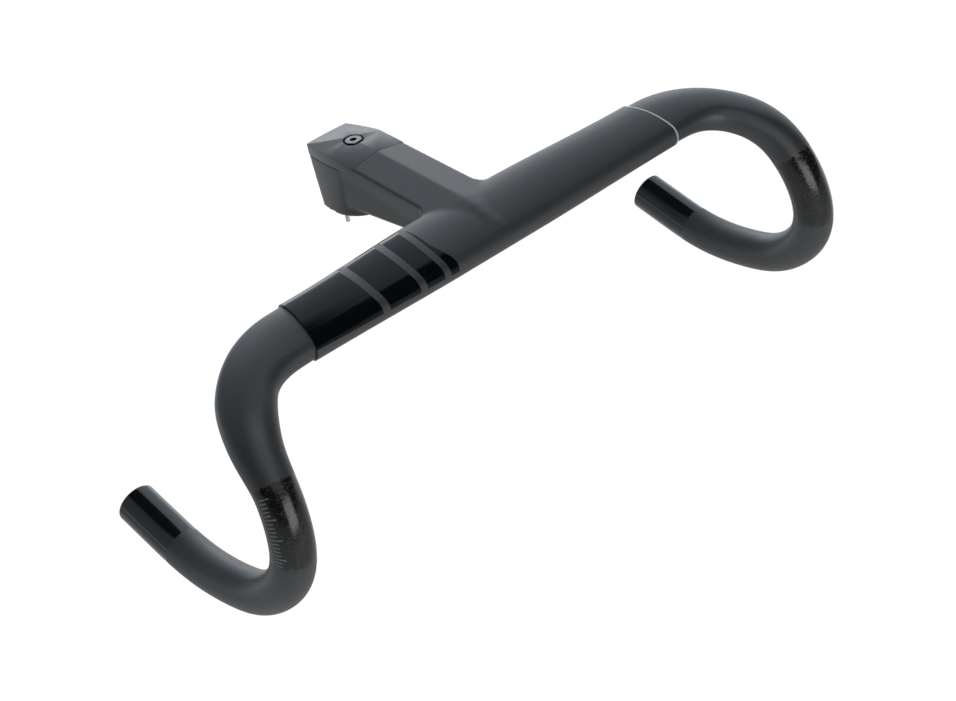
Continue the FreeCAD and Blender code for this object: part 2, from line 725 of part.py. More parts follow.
def socket_pocket(body, name, across_flats, depth, top):
    """Hexagonal socket sunk from the top of a turned bolt."""
    sketch = body.newObject("Sketcher::SketchObject", name + "Socket")
    plane = [item for item in body.Origin.OriginFeatures if item.Role == "XY_Plane"][0]
    sketch.AttachmentSupport = [(plane, "")]
    sketch.MapMode = "FlatFace"
    sketch.setExpression("AttachmentOffset.Base.z", top)
    radius = number(f"{across_flats} / 2 / cos(30)")
    corners = [Vector(radius * math.cos(math.radians(60 * step)),
                      radius * math.sin(math.radians(60 * step)), 0) for step in range(6)]
    for step in range(6):
        sketch.addGeometry(Part.LineSegment(corners[step], corners[(step + 1) % 6]), False)
    for step in range(6):
        sketch.addConstraint(Sketcher.Constraint("Coincident", step, 2, (step + 1) % 6, 1))
    for step in range(6):
        for kind, wave in (("DistanceX", "cos"), ("DistanceY", "sin")):
            value = getattr(corners[step], kind[-1].lower())
            flat = abs(value) < 1e-6
            if flat:
                axis = -2 if kind == "DistanceX" else -1
                sketch.addConstraint(Sketcher.Constraint("PointOnObject", step, 1, axis))
                continue
            place = sketch.addConstraint(Sketcher.Constraint(kind, -1, 1, step, 1, value))
            sketch.setExpression(f"Constraints[{place}]",
                                 f"{across_flats} / 2 / cos(30) * {wave}({60 * step})")
    pocket = body.newObject("PartDesign::Pocket", name + "SocketPocket")
    pocket.Profile = sketch
    pocket.setExpression("Length", depth)
    body.Tip = pocket
    return pocket


def socket_bolt(name, prefix, length):
    """Hex socket bolt with its foot at the origin of its own frame and its head on top."""
    shank = f"Sizes.{prefix}_radius"
    head = f"Sizes.{prefix}_head_radius"
    top = f"{length} + Sizes.{prefix}_head_height"
    body = turned(name, [
        ("0", "0"),
        (f"{shank} - {BOLT_CHAMFER}", "0"),
        (shank, f"{BOLT_CHAMFER}"),
        (shank, length),
        (head, length),
        (head, f"{top} - {BOLT_CHAMFER}"),
        (f"{head} - {BOLT_CHAMFER}", top),
        ("0", top),
    ])
    document.recompute()
    socket_pocket(body, name, f"Sizes.{prefix}_hex", f"Sizes.{prefix}_hex_depth", top)
    return body


def place_by(item, expressions, turn=None):
    """Bind an object's place to expressions and give it its turn."""
    item.Placement = Placement(Vector(), turn or Rotation())
    for axis, expression in zip("xyz", expressions):
        item.setExpression(f"Placement.Base.{axis}", expression)


def cap_bolt():
    bolt = socket_bolt("CapBolt", "cap_bolt", "Sizes.cap_bolt_length")
    bolt.Label = "cap_bolt"
    place_by(bolt, ("0", "0",
                    "Sizes.ridge_height - Sizes.cap_recess_depth - Sizes.cap_bolt_length"))
    return bolt


def tube(name, outer, inner, length):
    """Plain ring or sleeve."""
    return turned(name, [(inner, "0"), (outer, "0"), (outer, length), (inner, length)])


def clamp_hardware():
    """Bolt, washer and bonded insert of each clamp screw."""
    pieces = []
    reach = "(Sizes.clamp_seat + Sizes.washer_thickness + Sizes.insert_start"
    reach += " + Sizes.insert_length - 1)"
    for name, height in clamp_bolt_heights().items():
        bolt = socket_bolt(f"ClampBolt_{name}", "clamp_bolt", reach)
        bolt.Label = f"clamp_bolt_{name}"
        place_by(bolt, ("1 - Sizes.insert_start - Sizes.insert_length",
                        "Sizes.clamp_bolt_back", height), LEFTWARD)
        washer = tube(f"ClampWasher_{name}", "Sizes.washer_radius",
                      "Sizes.clamp_bolt_radius + Sizes.clamp_bolt_clearance",
                      "Sizes.washer_thickness")
        washer.Label = f"clamp_washer_{name}"
        place_by(washer, ("Sizes.clamp_seat", "Sizes.clamp_bolt_back", height), LEFTWARD)
        insert = tube(f"ClampInsert_{name}", "Sizes.insert_radius", "Sizes.clamp_bolt_radius",
                      "Sizes.insert_length")
        insert.Label = f"clamp_insert_{name}"
        place_by(insert, ("-Sizes.insert_start - Sizes.insert_length",
                          "Sizes.clamp_bolt_back", height), LEFTWARD)
        pieces += [bolt, washer, insert]
    return pieces


def locating_pins():
    pieces = []
    for name, sign in (("left", ""), ("right", "-")):
        pin = turned(f"LocatingPin_{name}", [
            ("0", "0"),
            (f"Sizes.pin_radius - {PIN_CHAMFER}", "0"),
            ("Sizes.pin_radius", f"{PIN_CHAMFER}"),
            ("Sizes.pin_radius", "Sizes.pin_reach + Sizes.pin_depth"),
            ("0", "Sizes.pin_reach + Sizes.pin_depth"),
        ])
        pin.Label = f"locating_pin_{name}"
        place_by(pin, (f"{sign}Sizes.pin_side", "-Sizes.pin_forward", "-Sizes.pin_reach"))
        pieces.append(pin)
    return pieces


def accessory_inserts():
    pieces = []
    for name, sign in (("left", ""), ("right", "-")):
        insert = tube(f"MountInsert_{name}", "Sizes.mount_insert_radius",
                      "Sizes.mount_insert_bore", "Sizes.mount_insert_length")
        insert.Label = f"mount_insert_{name}"
        place_by(insert, (f"{sign}Sizes.mount_spacing / 2", f"{BAR_Y} + Sizes.mount_back",
                          "Sizes.mount_face"))
        pieces.append(insert)
    return pieces


def check_document():
    """Stop on any object that failed to compute."""
    for item in document.Objects:
        if "Invalid" in item.State or "Error" in item.State:
            raise RuntimeError(f"{item.Name} failed: {item.State}")


def export(pieces):
    os.makedirs("parts", exist_ok=True)
    for piece in pieces:
        shape = piece.Shape
        if shape.isNull() or not shape.isValid():
            raise RuntimeError(f"{piece.Label} has no valid shape")
        print(f"{piece.Label}: {len(shape.Solids)} solid, {shape.Volume:.1f} mm3")
    for piece in pieces:
        piece.Shape.exportStep(f"parts/{piece.Label}.step")


def build():
    pieces = [bar_stem_shell(), top_cap(), cap_bolt()]
    pieces += clamp_hardware()
    pieces += locating_pins()
    pieces += accessory_inserts()
    document.recompute()
    check_document()
    export(pieces)


build()
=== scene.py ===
import math

import bmesh
import bpy
import numpy as np
from mathutils import Matrix, Vector


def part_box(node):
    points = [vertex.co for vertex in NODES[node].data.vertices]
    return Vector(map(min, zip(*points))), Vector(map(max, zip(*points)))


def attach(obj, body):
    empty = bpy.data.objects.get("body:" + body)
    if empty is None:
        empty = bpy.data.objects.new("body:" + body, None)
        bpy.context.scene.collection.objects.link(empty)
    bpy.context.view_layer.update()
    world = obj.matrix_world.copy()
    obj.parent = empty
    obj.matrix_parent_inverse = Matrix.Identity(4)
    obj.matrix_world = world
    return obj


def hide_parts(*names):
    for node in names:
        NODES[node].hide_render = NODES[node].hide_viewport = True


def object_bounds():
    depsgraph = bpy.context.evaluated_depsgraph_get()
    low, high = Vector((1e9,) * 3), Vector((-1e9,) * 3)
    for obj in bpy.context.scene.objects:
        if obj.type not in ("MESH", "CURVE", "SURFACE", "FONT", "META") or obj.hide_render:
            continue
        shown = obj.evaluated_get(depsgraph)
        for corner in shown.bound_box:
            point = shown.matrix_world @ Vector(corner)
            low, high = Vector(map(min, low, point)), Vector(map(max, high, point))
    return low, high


# Looks of an integrated drop handlebar and stem. Lengths below are in millimetres, in the
# frame of the part's source; the meshes are written in metres.

MM = 0.001
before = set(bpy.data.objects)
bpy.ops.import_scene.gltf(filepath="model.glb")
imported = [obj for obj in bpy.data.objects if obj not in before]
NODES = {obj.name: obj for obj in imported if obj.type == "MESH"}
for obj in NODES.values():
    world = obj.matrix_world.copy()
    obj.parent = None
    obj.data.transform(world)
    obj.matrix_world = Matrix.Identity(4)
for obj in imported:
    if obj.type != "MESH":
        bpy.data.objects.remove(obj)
CAD_BOX = [list(corner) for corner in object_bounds()]

STEM_LENGTH = 110.0
STEM_ANGLE = math.radians(8.0)
RIDGE_HEIGHT = 41.0
RIDGE_ABOVE_BAR = 10.0
ROOF_FALL = 2.9
STEM_HALF_WIDTH = 19.5
STEM_FRONT_HALF_WIDTH = 20.4
STEM_SIDE_TUCK = 1.9
CREASE_REAR_HEIGHT = 30.6
CREASE_FRONT_HEIGHT = 11.0
EDGE_BEVEL = 0.7
STEM_FLOOR = 3.5
STEM_BOTTOM_CHAMFER = 4.0
CROTCH_RADIUS = 8.0
CROTCH_SHARE = 0.83
FLARE_ANGLE = math.radians(76.0)
WALL = 2.0
CLAMP_WALL = 2.4

WING_HALF_CHORD = 23.3
WING_HALF_THICK = 11.0
WING_BACK_SHIFT = 3.7
WING_SINK = 3.0
WING_TILT = math.radians(8.0)
OVAL_JOINT = math.radians(71.0)
TAPE_OFFSET = 133.5
TAPE_SLANT = 0.18
TAPE_STEP_DEPTH = 1.2
TAPE_HALF_CHORD = 20.8
TAPE_HALF_THICK = 10.6
TAPE_SINK = 1.1
TAPE_TILT = math.radians(6.0)
CORNER_HALF_WIDTH = 17.6
CORNER_HALF_THICK = 11.6
CORNER_RUN = 45.0
ROUND_RUN = 60.0
OVERLAP = 8.0
GRIP_RADIUS = 12.1

# Points of the drop's centre line in the frame of the bar: out, back, up.
DROP_OUT = 207.5
DROP_POINTS = (
    (TAPE_OFFSET - OVERLAP, 0.0, -TAPE_SINK),
    (TAPE_OFFSET + OVERLAP, 0.0, -TAPE_SINK),
    (DROP_OUT - 31.9, -10.1, -4.7),
    (DROP_OUT - 11.9, -37.1, -15.4),
    (DROP_OUT - 7.2, -60.4, -39.3),
    (DROP_OUT - 3.9, -68.4, -74.0),
    (DROP_OUT - 1.1, -45.5, -108.3),
    (DROP_OUT, -5.9, -123.0),
    (DROP_OUT, 39.9, -123.5),
    (DROP_OUT, 75.6, -116.4),
)
END_BORE_RADIUS = 10.5
END_BORE_LENGTH = 24.0
END_ROUNDING = 0.45
PORT_LENGTH = 15.0
PORT_WIDTH = 8.0

BASE_RADIUS = 20.4
BASE_CORNER = (18.1, 18.2)
BASE_REAR = 24.0
STEERER_RADIUS = 14.3
STEERER_BORE_TOP = 23.0
RELIEF_RADIUS = 15.2
CHANNEL_RADIUS = 18.4
CHANNEL_HALF_ANGLE = math.radians(48.0)
SLIT_WIDTH = 2.0
SEAM_FORWARD = 21.0
SEAM_GAP = 0.25
SEAM_HEIGHT = 31.2
CAP_REAR = 26.5
CAP_REAR_BOW = 0.8
CAP_REAR_HALF_WIDTH = 15.1
CAP_MID_BACK = 7.0
CAP_REAR_HEIGHT = 37.7
CAP_APEX_BACK = 2.0
CAP_BOSS_DEPTH = 1.5
CAP_BOSS_RADIUS = 15.0
CAP_RECESS_RADIUS = 6.3
CAP_RECESS_DEPTH = 3.4
CAP_HOLE_RADIUS = 3.3
CAP_FRONT_HALF_WIDTH = 19.7
CAP_EDGE = 0.35
CLAMP_BOLT_HEIGHTS = (10.5, 23.0)
CLAMP_BOLT_BACK = 17.6
CLAMP_BOLT_HOLE = 2.65
CLAMP_SEAT = 9.0
CLAMP_POCKET_RADIUS = 4.7
MOUNT_HALF_SPACING = 9.0
MOUNT_BACK = 4.0
MOUNT_FACE = 2.4
MOUNT_RADIUS = 3.5
MOUNT_LENGTH = 8.0

# Ridge over the tops in the frame of the bar: back, up, floor.
SINKING = ((14.0, 10.0, -12.0), (6.0, 9.4, -12.0), (-2.0, 7.9, -12.0),
           (-10.0, 5.6, -11.0), (-16.0, 2.8, -9.0))

BAR_Y = RIDGE_ABOVE_BAR * math.sin(STEM_ANGLE) - STEM_LENGTH * math.cos(STEM_ANGLE)
BAR_Z = RIDGE_HEIGHT - STEM_LENGTH * math.sin(STEM_ANGLE) - RIDGE_ABOVE_BAR * math.cos(STEM_ANGLE)

# Meshing of the moulding.
VOXEL = 0.75
TOPS_SPACING = 3.0
END_ALLOWANCE = 5.0
END_ARC_POINTS = 32
LONG_ARC_POINTS = 9
FAR = 200.0


def from_bar(x, back, up):
    """Row-frame point, in millimetres, of a point given in the frame of the bar."""
    y = BAR_Y + math.cos(STEM_ANGLE) * back - math.sin(STEM_ANGLE) * up
    z = BAR_Z + math.sin(STEM_ANGLE) * back + math.cos(STEM_ANGLE) * up
    return Vector((x, y, z))


def blend(start, end, share):
    share = min(max(share, 0.0), 1.0)
    return start + (end - start) * share * share * (3 - 2 * share)


def oval_outline(half_width, half_height):
    """Points (side, rise) of an oval of four tangent arcs."""
    lean = 1 / math.cos(OVAL_JOINT) - math.tan(OVAL_JOINT)
    end_radius = (half_height - half_width * lean) / (1 - lean)
    wide = half_width - end_radius + end_radius * math.cos(OVAL_JOINT)
    long_radius = wide / math.cos(OVAL_JOINT)
    points = []
    short = math.pi / 2 - OVAL_JOINT
    for middle, half_spread, radius, centre, count in (
            (0.0, OVAL_JOINT, end_radius, (half_width - end_radius, 0.0), END_ARC_POINTS),
            (math.pi / 2, short, long_radius, (0.0, half_height - long_radius), LONG_ARC_POINTS),
            (math.pi, OVAL_JOINT, end_radius, (end_radius - half_width, 0.0), END_ARC_POINTS),
            (-math.pi / 2, short, long_radius, (0.0, long_radius - half_height), LONG_ARC_POINTS)):
        for step in range(count):
            angle = middle - half_spread + 2 * half_spread * step / count
            points.append((centre[0] + radius * math.cos(angle),
                           centre[1] + radius * math.sin(angle)))
    return points


def ring(centre, across, upward, half_width, half_height):
    """Row-frame ring of an oval given in the frame of the bar."""
    return [from_bar(*(centre + across * side + upward * rise))
            for side, rise in oval_outline(half_width, half_height)]


def mesh_of_rings(name, rings):
    """Closed mesh through rings of equally many points, with flat ends."""
    count = len(rings[0])
    points = [point * MM for places in rings for point in places]
    faces = []
    for index in range(len(rings) - 1):
        first, second = index * count, (index + 1) * count
        for step in range(count):
            after = (step + 1) % count
            faces.append((first + step, first + after, second + after, second + step))
    faces.append(tuple(reversed(range(count))))
    faces.append(tuple(range(len(points) - count, len(points))))
    return mesh_object(name, points, faces)


def mesh_object(name, points, faces):
    mesh = bpy.data.meshes.new(name)
    mesh.from_pydata([tuple(point) for point in points], [], faces)
    edit = bmesh.new()
    edit.from_mesh(mesh)
    bmesh.ops.recalc_face_normals(edit, faces=edit.faces)
    edit.to_mesh(mesh)
    edit.free()
    item = bpy.data.objects.new(name, mesh)
    bpy.context.scene.collection.objects.link(item)
    return item


def apply_modifiers(item):
    """Keep the evaluated mesh of an object and drop its modifiers."""
    graph = bpy.context.evaluated_depsgraph_get()
    graph.update()
    mesh = bpy.data.meshes.new_from_object(item.evaluated_get(graph))
    old = item.data
    item.modifiers.clear()
    item.data = mesh
    bpy.data.meshes.remove(old)


def merged(name, items):
    """One object that holds the meshes of several."""
    edit = bmesh.new()
    for item in items:
        edit.from_mesh(item.data)
        bpy.data.objects.remove(item)
    mesh = bpy.data.meshes.new(name)
    edit.to_mesh(mesh)
    edit.free()
    whole = bpy.data.objects.new(name, mesh)
    bpy.context.scene.collection.objects.link(whole)
    return whole


def combine(item, operation, tools):
    """Cut each tool out of item, or join it on, and remove it."""
    for tool in tools:
        modifier = item.modifiers.new("Combine", "BOOLEAN")
        modifier.operation = operation
        modifier.solver = "MANIFOLD"
        modifier.object = tool
    apply_modifiers(item)
    for tool in tools:
        bpy.data.objects.remove(tool)


def cylinder(name, radius, start, end, segments=96):
    """Closed cylinder from start to end, row frame."""
    axis = (end - start).normalized()
    side = axis.orthogonal().normalized()
    other = axis.cross(side)
    rings = []
    for centre in (start, end):
        rings.append([centre + (side * math.cos(angle) + other * math.sin(angle)) * radius
                      for angle in (2 * math.pi * step / segments for step in range(segments))])
    return mesh_of_rings(name, rings)


def block(name, low, high):
    corners = [[Vector((x, y, z)) for x, y in ((low[0], low[1]), (high[0], low[1]),
                                               (high[0], high[1]), (low[0], high[1]))]
               for z in (low[2], high[2])]
    return mesh_of_rings(name, corners)


def prism(name, outline, low, high):
    """Upright prism on a plan outline."""
    return mesh_of_rings(name, [[Vector((x, y, z)) for x, y in outline] for z in (low, high)])


def tops_form():
    """The flattened tops from tape step to tape step."""
    reach = TAPE_OFFSET + END_ALLOWANCE
    count = 2 * round(reach / TOPS_SPACING)
    rings = []
    for step in range(count + 1):
        x = reach * (2 * step / count - 1)
        share = (abs(x) - STEM_HALF_WIDTH) / (TAPE_OFFSET - STEM_HALF_WIDTH)
        tilt = blend(WING_TILT, TAPE_TILT, share)
        slant = math.copysign(TAPE_SLANT, x) * min(max(share, 0.0), 1.0)
        centre = Vector((x, blend(WING_BACK_SHIFT, 0, share), -blend(WING_SINK, TAPE_SINK, share)))
        across = Vector((-slant, math.cos(tilt), math.sin(tilt)))
        upward = Vector((0, -math.sin(tilt), math.cos(tilt)))
        rings.append(ring(centre, across, upward,
                          blend(WING_HALF_CHORD, TAPE_HALF_CHORD, share),
                          blend(WING_HALF_THICK, TAPE_HALF_THICK, share)))
    return mesh_of_rings("Tops", rings)


def ridge_at(y):
    return RIDGE_HEIGHT + y * math.tan(STEM_ANGLE)


def roof_drop(half_width):
    return ROOF_FALL * half_width / STEM_HALF_WIDTH


def stem_section(y, ridge, half_width, tuck, crease, floor):
    crease_x = half_width - tuck
    corners = [
        (0, ridge),
        (half_width - EDGE_BEVEL, ridge - roof_drop(half_width - EDGE_BEVEL)),
        (half_width, ridge - roof_drop(half_width) - EDGE_BEVEL),
        (crease_x, crease),
        (crease_x, floor + STEM_BOTTOM_CHAMFER),
        (crease_x - STEM_BOTTOM_CHAMFER, floor),
    ]
    left = [Vector((x, y, z)) for x, z in corners]
    right = [Vector((-x, y, z)) for x, z in reversed(corners[1:])]
    return left + right


def stem_form():
    """The stem: straight, then widening to the tops and sinking into them."""
    crotch = from_bar(0, WING_BACK_SHIFT + CROTCH_SHARE * WING_HALF_CHORD,
                      RIDGE_ABOVE_BAR - ROOF_FALL)
    bend = crotch.y + CROTCH_RADIUS
    start = -CAP_MID_BACK
    share = start / bend
    sections = [stem_section(start, ridge_at(start),
                             STEM_HALF_WIDTH + (STEM_FRONT_HALF_WIDTH - STEM_HALF_WIDTH) * share,
                             STEM_SIDE_TUCK * share,
                             CREASE_REAR_HEIGHT
                             + (CREASE_FRONT_HEIGHT - CREASE_REAR_HEIGHT) * share, STEM_FLOOR)]
    flare_steps = 12
    for step in range(flare_steps + 1):
        angle = FLARE_ANGLE * step / flare_steps
        y = bend - CROTCH_RADIUS * math.sin(angle)
        flare = CROTCH_RADIUS * (1 - math.cos(angle))
        sections.append(stem_section(y, ridge_at(y), STEM_FRONT_HALF_WIDTH + flare,
                                     STEM_SIDE_TUCK, CREASE_FRONT_HEIGHT, STEM_FLOOR))
    for back, up, floor_up in SINKING:
        place = from_bar(0, back, up)
        floor = from_bar(0, back, floor_up).z
        sections.append(stem_section(place.y, place.z, STEM_FRONT_HALF_WIDTH + CROTCH_RADIUS,
                                     STEM_SIDE_TUCK, (place.z + floor) / 2, floor))
    return mesh_of_rings("Stem", sections)


def arc_through(first, middle, last, count):
    """Points of the plan arc through three points, the last one left out."""
    (ax, ay), (bx, by), (cx, cy) = first, middle, last
    d = 2 * (ax * (by - cy) + bx * (cy - ay) + cx * (ay - by))
    ux = ((ax**2 + ay**2) * (by - cy) + (bx**2 + by**2) * (cy - ay)
          + (cx**2 + cy**2) * (ay - by)) / d
    uy = ((ax**2 + ay**2) * (cx - bx) + (bx**2 + by**2) * (ax - cx)
          + (cx**2 + cy**2) * (bx - ax)) / d
    radius = math.hypot(ax - ux, ay - uy)
    start = math.atan2(ay - uy, ax - ux)
    through = (math.atan2(by - uy, bx - ux) - start) % (2 * math.pi)
    turn = (math.atan2(cy - uy, cx - ux) - start) % (2 * math.pi)
    if through > turn:
        turn -= 2 * math.pi
    return [(ux + radius * math.cos(start + turn * step / count),
             uy + radius * math.sin(start + turn * step / count)) for step in range(count)]


def clamp_outline(front, side, corner, rear):
    """Plan outline of the clamp, symmetric about the centre plane."""
    return (clamp_rear(side, corner, rear)
            + arc_through((-side[0], side[1]), (0, front), side, 48))


def clamp_rear(side, corner, rear):
    """Sides and rear of the clamp's plan outline, rider's left side first."""
    middle = (side[0] - (side[0] - corner[0]) * 0.25, side[1] + (corner[1] - side[1]) / 2)
    points = arc_through(side, middle, corner, 16)
    points += arc_through(corner, (0, rear), (-corner[0], corner[1]), 24)
    points += arc_through((-corner[0], corner[1]), (-middle[0], middle[1]), (-side[0], side[1]), 16)
    return points


def clamp_form():
    low = clamp_outline(-BASE_RADIUS, (BASE_RADIUS, 0.0), BASE_CORNER, BASE_REAR)
    high = clamp_outline(-SEAM_FORWARD - OVERLAP / 2, (STEM_HALF_WIDTH, -CAP_MID_BACK),
                         (CAP_REAR_HALF_WIDTH, CAP_REAR), CAP_REAR + CAP_REAR_BOW)
    return mesh_of_rings("Clamp", [[Vector((x, y, z)) for x, y in outline]
                                   for outline, z in ((low, 0.0), (high, SEAM_HEIGHT))])


def end_trim(hand):
    """Block that trims the tops square to their section at the tape step."""
    across = Vector((-hand * TAPE_SLANT, math.cos(TAPE_TILT), math.sin(TAPE_TILT)))
    upward = Vector((0, -math.sin(TAPE_TILT), math.cos(TAPE_TILT)))
    centre = Vector((hand * TAPE_OFFSET, 0, -TAPE_SINK))
    wide, high = 2 * TAPE_HALF_CHORD, 3 * TAPE_HALF_THICK
    rings = []
    for reach in (0, 4 * END_ALLOWANCE):
        out = Vector((hand * reach, 0, 0))
        rings.append([from_bar(*(centre + out + across * side * wide + upward * rise * high))
                      for side, rise in ((-1, -1), (1, -1), (1, 1), (-1, 1))])
    return mesh_of_rings("EndTrim", rings)


def centre_cutters():
    """Everything that is cut out of the middle of the moulding."""
    up = Vector((0, 0, 1))
    cutters = [
        end_trim(1),
        end_trim(-1),
        block("CapSpace", (-FAR, -SEAM_FORWARD - SEAM_GAP, SEAM_HEIGHT), (FAR, FAR, FAR)),
        cylinder("SteererBore", STEERER_RADIUS, up * -1, up * (STEERER_BORE_TOP + 0.5)),
        cylinder("Relief", RELIEF_RADIUS, up * STEERER_BORE_TOP, up * FAR),
        block("Slit", (-SLIT_WIDTH / 2, 0, -1), (SLIT_WIDTH / 2, FAR, FAR)),
        channel_sector(),
    ]
    for height in CLAMP_BOLT_HEIGHTS:
        seat = Vector((CLAMP_SEAT, CLAMP_BOLT_BACK, height))
        cutters.append(cylinder("HeadPocket", CLAMP_POCKET_RADIUS, seat,
                                seat + Vector((2 * BASE_RADIUS, 0, 0))))
        cutters.append(cylinder("BoltHole", CLAMP_BOLT_HOLE, seat - Vector((3, 0, 0)) * 4,
                                seat + Vector((1, 0, 0))))
    for hand in (1, -1):
        foot = Vector((hand * MOUNT_HALF_SPACING, BAR_Y + MOUNT_BACK, MOUNT_FACE))
        cutters.append(cylinder("MountHole", MOUNT_RADIUS, foot - up * 5, foot + up * MOUNT_LENGTH))
    return cutters


def channel_sector():
    """Opening for the cables in front of the steerer."""
    steps = 32
    top = SEAM_HEIGHT - CLAMP_WALL
    outline = [(0.0, 0.0)]
    for step in range(steps + 1):
        angle = -math.pi / 2 + CHANNEL_HALF_ANGLE * (2 * step / steps - 1)
        outline.append((CHANNEL_RADIUS * math.cos(angle), CHANNEL_RADIUS * math.sin(angle)))
    return prism("Channel", outline, -1, top)


def centre_piece():
    """Tops, stem and clamp as one smooth moulding."""
    whole = merged("bar_stem_moulding", [tops_form(), stem_form(), clamp_form()])
    remesh = whole.modifiers.new("Remesh", "REMESH")
    remesh.mode = "VOXEL"
    remesh.voxel_size = VOXEL * MM
    apply_modifiers(whole)
    soften(whole)
    combine(whole, "DIFFERENCE", centre_cutters())
    finish_surface(whole, 50)
    return whole


def soften(item):
    """Even out the voxel steps everywhere, and melt the ridge into the tops."""
    mesh = item.data
    count = len(mesh.vertices)
    points = np.empty(count * 3)
    mesh.vertices.foreach_get("co", points)
    points = points.reshape(-1, 3)
    edges = np.empty(len(mesh.edges) * 2, int)
    mesh.edges.foreach_get("vertices", edges)
    edges = edges.reshape(-1, 2)
    bar = np.array(from_bar(0, 0, 0)) * MM
    forward = (points - bar) / MM
    back = forward[:, 1] * math.cos(STEM_ANGLE) + forward[:, 2] * math.sin(STEM_ANGLE)
    up = forward[:, 2] * math.cos(STEM_ANGLE) - forward[:, 1] * math.sin(STEM_ANGLE)
    near = np.clip((26 - back) / 8, 0, 1) * np.clip((62 - np.abs(forward[:, 0])) / 12, 0, 1)
    near *= np.clip((up + 4) / 4, 0, 1)
    under = np.clip((24 - back) / 8, 0, 1) * np.clip((34 - np.abs(forward[:, 0])) / 8, 0, 1)
    near = np.maximum(near, under * np.clip((-4 - up) / 3, 0, 1))
    neighbours = np.bincount(edges.ravel(), minlength=count)[:, None]
    for passes, weight in ((4, np.ones(count)), (16, near)):
        for _ in range(passes):
            total = np.empty_like(points)
            for axis in range(3):
                total[:, axis] = np.bincount(edges[:, 0], points[edges[:, 1], axis], count)
                total[:, axis] += np.bincount(edges[:, 1], points[edges[:, 0], axis], count)
            points += (total / neighbours - points) * 0.5 * weight[:, None]
    mesh.vertices.foreach_set("co", points.ravel())
    mesh.update()


def finish_surface(item, sharp_angle):
    mesh = item.data
    mesh.polygons.foreach_set("use_smooth", [True] * len(mesh.polygons))
    mesh.set_sharp_from_angle(angle=math.radians(sharp_angle))
    mesh.update()


def tangent_arc(start, corner, end, count):
    """Points of the arc from start to end that touches the lines through corner."""
    foot = (start + end) * 0.5
    rise = corner - foot
    half = (end - start).length / 2
    if rise.length < half / FAR:
        return [start.lerp(end, step / count) for step in range(count)]
    turn = math.atan2(rise.length, half)
    radius = half / math.sin(turn)
    centre = foot - rise.normalized() * radius * math.cos(turn)
    side = (end - start).normalized()
    outward = rise.normalized()
    return [centre + (side * math.sin(angle) + outward * math.cos(angle)) * radius
            for angle in (turn * (2 * step / count - 1) for step in range(count))]


def centre_line():
    """Evenly spaced points along the rider's left drop, rounded as the source rounds them."""
    points = [Vector(point) for point in DROP_POINTS]
    ways = [(points[1] - points[0]).normalized()] * 2
    for before, here, after in zip(points[1:], points[2:-1], points[3:-1]):
        arriving = here - before
        leaving = after - here
        ways.append((arriving / arriving.length**2 + leaving / leaving.length**2).normalized())
    ways += [(points[-1] - points[-2]).normalized()] * 2
    line = []
    for start, way, end, end_way in zip(points, ways, points[1:], ways[1:]):
        chord = end - start
        along = chord.dot(way + end_way)
        spread = 2 * (1 - way.dot(end_way))
        if spread < 1 / FAR**2:
            line += [start.lerp(end, step / 40) for step in range(40)]
            continue
        reach = (math.sqrt(along**2 + spread * chord.length_squared) - along) / spread
        first = start + way * reach
        second = end - end_way * reach
        middle = (first + second) * 0.5
        line += tangent_arc(start, first, middle, 40) + tangent_arc(middle, second, end, 40)
    line.append(points[-1])
    return evened(line, 1.5, 60)


def evened(line, spacing, passes):
    """Resample a line evenly and take out the jumps in its curvature."""
    line = np.array([tuple(point) for point in line])
    travelled = np.concatenate([[0], np.cumsum(np.linalg.norm(np.diff(line, axis=0), axis=1))])
    count = round(travelled[-1] / spacing)
    places = np.linspace(0, travelled[-1], count + 1)
    line = np.stack([np.interp(places, travelled, line[:, axis]) for axis in range(3)], 1)
    for _ in range(passes):
        line[1:-1] = line[1:-1] * 0.5 + (line[:-2] + line[2:]) * 0.25
    return [Vector(point) for point in line], places


